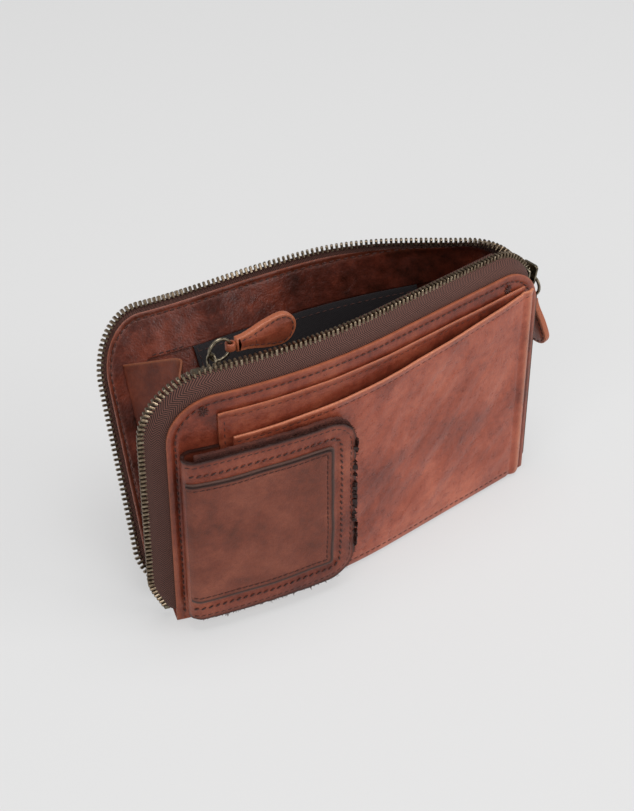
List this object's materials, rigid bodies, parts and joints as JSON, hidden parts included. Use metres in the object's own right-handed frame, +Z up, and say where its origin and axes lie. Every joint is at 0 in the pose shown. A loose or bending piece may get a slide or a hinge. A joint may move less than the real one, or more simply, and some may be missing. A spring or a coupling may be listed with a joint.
{
  "type": "zip around wallet",
  "caption": "Leather zip-around wallet standing open on its spine, with a fold-over tab, outer pocket, zipped coin pocket and leather zip pullers.",
  "frame": {"origin": "on the underside of the spine, midway along the length and between the two panels' faces", "axes": "+X along the length towards the main slider, -Y towards the front, +Z up"},
  "size_m": [0.2062, 0.11, 0.1294],
  "materials": {
    "leather": "washed, semi-matt",
    "flap_leather": "nubuck, matt",
    "suede": "flesh side, raw",
    "lining": "woven, matt",
    "tape": "herringbone weave",
    "thread": "waxed thread",
    "brass": "antique, burnished"
  },
  "bodies": {
    "root": {"spine": "leather", "front_panel": "leather", "front_lining": "lining", "card_slot": "leather", "front_pocket": "leather", "slot_tack_left": "thread", "slot_tack_right": "thread", "back_panel_held": "leather", "back_lining_held": "leather", "slip_pocket_held": "lining", "front_tape": "tape", "front_teeth": "brass", "back_tape_held": "tape", "back_teeth_held": "brass", "shut_tape_front": "tape", "shut_tape_back": "tape", "shut_teeth": "brass", "bottom_stop": "brass", "front_stop": "brass", "flap_anchor": "leather", "flap_bend": "leather", "coin_pocket": "lining", "coin_gusset_left": "leather", "coin_gusset_right": "leather", "coin_tape_front": "tape", "coin_tape_back": "tape", "coin_teeth": "brass", "gusset": "leather"},
    "back": {"back_panel_free": "leather", "back_lining_free": "leather", "slip_pocket_free": "lining", "back_tape_free": "tape", "back_teeth_free": "brass", "back_stop": "brass", "keeper_patch": "leather", "keeper_socket": "brass"},
    "flap": {"flap_inner": "suede", "flap_outer": "leather", "flap_patch": "flap_leather", "flap_stud": "brass"},
    "main_slider": {"main_slider": "brass"},
    "main_ring": {"main_ring": "brass"},
    "main_puller": {"main_pull_sleeve": "leather", "main_pull_outer": "leather", "main_pull_inner": "leather"},
    "coin_slider": {"coin_slider": "brass"},
    "coin_loop": {"coin_loop": "brass"},
    "coin_ring": {"coin_ring": "brass"},
    "coin_puller": {"coin_pull_sleeve": "leather", "coin_pull_outer": "leather", "coin_pull_inner": "leather"}
  },
  "joints": [
    {"name": "mouth", "type": "hinge", "parent": "root", "child": "back", "pos_m": [-0.06135, 0.02045, 0.0016], "axis": [0.97, -0.2433, 0], "range_deg": [-8, 36], "deforming": ["gusset"]},
    {"name": "flap_fold", "type": "hinge", "parent": "root", "child": "flap", "pos_m": [-0.08495, 0.003, 0], "axis": [0, 0, -1], "range_deg": [0, 120], "deforming": ["flap_bend"]},
    {"name": "main_zip", "type": "slide", "parent": "root", "child": "main_slider", "axis": [0, 0, -1], "range_m": [0, 0.0815]},
    {"name": "main_ring_swing", "type": "hinge", "parent": "main_slider", "child": "main_ring", "pos_m": [0.09845, 0, 0.0953], "axis": [0, -1, 0], "range_deg": [0, 90]},
    {"name": "main_puller_swing", "type": "hinge", "parent": "main_ring", "child": "main_puller", "pos_m": [0.09845, 0, 0.0861], "axis": [0, -1, 0], "range_deg": [-12, 45]},
    {"name": "coin_zip", "type": "hinge", "parent": "root", "child": "coin_slider", "pos_m": [0.0065, 0.23038, 0], "axis": [0, 0, 1], "range_deg": [0, 18]},
    {"name": "coin_loop_swing", "type": "hinge", "parent": "coin_slider", "child": "coin_loop", "pos_m": [-0.06717, 0.01271, 0.1154], "axis": [0.1245, 0.9922, 0], "range_deg": [-45, 0]},
    {"name": "coin_ring_swing", "type": "hinge", "parent": "coin_loop", "child": "coin_ring", "pos_m": [-0.06611, 0.01257, 0.11941], "axis": [0.1245, 0.9922, 0], "range_deg": [-30, 0]},
    {"name": "coin_puller_swing", "type": "hinge", "parent": "coin_ring", "child": "coin_puller", "pos_m": [-0.05805, 0.01156, 0.12237], "axis": [0, 0, -1], "range_deg": [-45, 0]}
  ]
}
